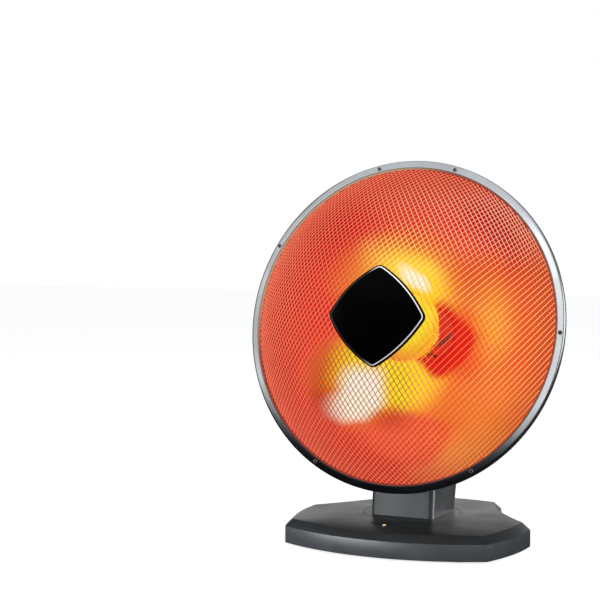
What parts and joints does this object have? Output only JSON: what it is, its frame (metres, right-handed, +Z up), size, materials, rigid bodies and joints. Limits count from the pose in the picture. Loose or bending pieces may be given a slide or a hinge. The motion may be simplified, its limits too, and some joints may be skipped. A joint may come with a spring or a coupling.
{
  "type": "parabolic heater",
  "caption": "Free-standing dish heater: domed wire guard and polished ring round a parabolic reflector, tilting on a black neck that swivels on a wide base.",
  "frame": {"origin": "middle of the whole object's footprint, at floor level", "axes": "+Z up, the dish faces -Y and looks up by 11 degrees, X runs along the tilt axis"},
  "size_m": [0.368, 0.2521, 0.4237],
  "materials": {
    "satin_black_plastic": "satin black, fine grain",
    "black_rubber": "matte",
    "natural_plastic": "natural, slightly waxy",
    "amber_lens": "translucent amber, lit",
    "lamp_glass": "clear, lit",
    "dark_phenolic": "dark brown, matte",
    "gloss_black": "gloss black",
    "bright_line": "bright silver line",
    "dish_aluminium": "polished, lit by the element",
    "cap_metal": "satin, lit by the element",
    "ring_chrome": "polished",
    "guard_wire": "bright plated wire",
    "white_ceramic": "unglazed white",
    "coil_wire": "resistance wire, glows when on",
    "plated_steel": "zinc plated",
    "black_steel": "satin black"
  },
  "bodies": {
    "base": {"base_shell": "satin_black_plastic", "base_plate": "satin_black_plastic", "rubber_feet": "black_rubber", "base_screws": "plated_steel", "glide_ring": "natural_plastic", "indicator_lens": "amber_lens", "indicator_lamp": "lamp_glass", "rotary_switch": "dark_phenolic", "switch_nut": "plated_steel", "terminal_block": "natural_plastic", "cord_bushing": "satin_black_plastic", "tip_switch": "dark_phenolic"},
    "tip_plunger": {"tip_plunger": "natural_plastic"},
    "control_knob": {"control_knob": "satin_black_plastic", "switch_shaft": "plated_steel"},
    "neck": {"turntable": "satin_black_plastic", "retaining_ring": "plated_steel", "retaining_screws": "plated_steel", "foot_screws": "plated_steel", "neck_shell": "satin_black_plastic", "neck_rear_cover": "satin_black_plastic", "neck_cover_screws": "plated_steel", "tilt_bolt": "plated_steel", "tilt_nut": "plated_steel", "friction_washers": "plated_steel"},
    "head": {"tilt_arm": "black_steel", "hub_rivets": "plated_steel", "rear_housing": "satin_black_plastic", "housing_screws": "plated_steel", "reflector": "dish_aluminium", "trim_ring": "ring_chrome", "ring_screws": "plated_steel", "ring_nuts": "plated_steel", "guard_rim": "guard_wire", "guard_mesh": "guard_wire", "badge_plate": "gloss_black", "badge_inlay": "bright_line", "badge_clamp": "black_steel", "badge_screw": "plated_steel", "element_base": "white_ceramic", "element_core": "white_ceramic", "heating_coil": "coil_wire", "element_pins": "plated_steel", "front_cap": "cap_metal", "cap_rods": "plated_steel", "thermal_cutout": "dark_phenolic"}
  },
  "joints": [
    {"name": "swivel", "type": "hinge", "parent": "base", "child": "neck", "pos_m": [0, -0.01175, 0.0315], "axis": [0, 0, 1], "range_deg": [-40, 40]},
    {"name": "tilt", "type": "hinge", "parent": "neck", "child": "head", "pos_m": [0, 0.02825, 0.1405], "axis": [1, 0, 0], "range_deg": [-16, 10]},
    {"name": "knob_turn", "type": "hinge", "parent": "base", "child": "control_knob", "pos_m": [0.034, 0.11661, 0.0113], "axis": [0, 1, 0], "range_deg": [0, 270]},
    {"name": "tip_drop", "type": "slide", "parent": "base", "child": "tip_plunger", "axis": [0, 0, -1], "range_m": [0, 0.004], "stiffness_N_per_m": 150, "springref_m": 0.006}
  ]
}
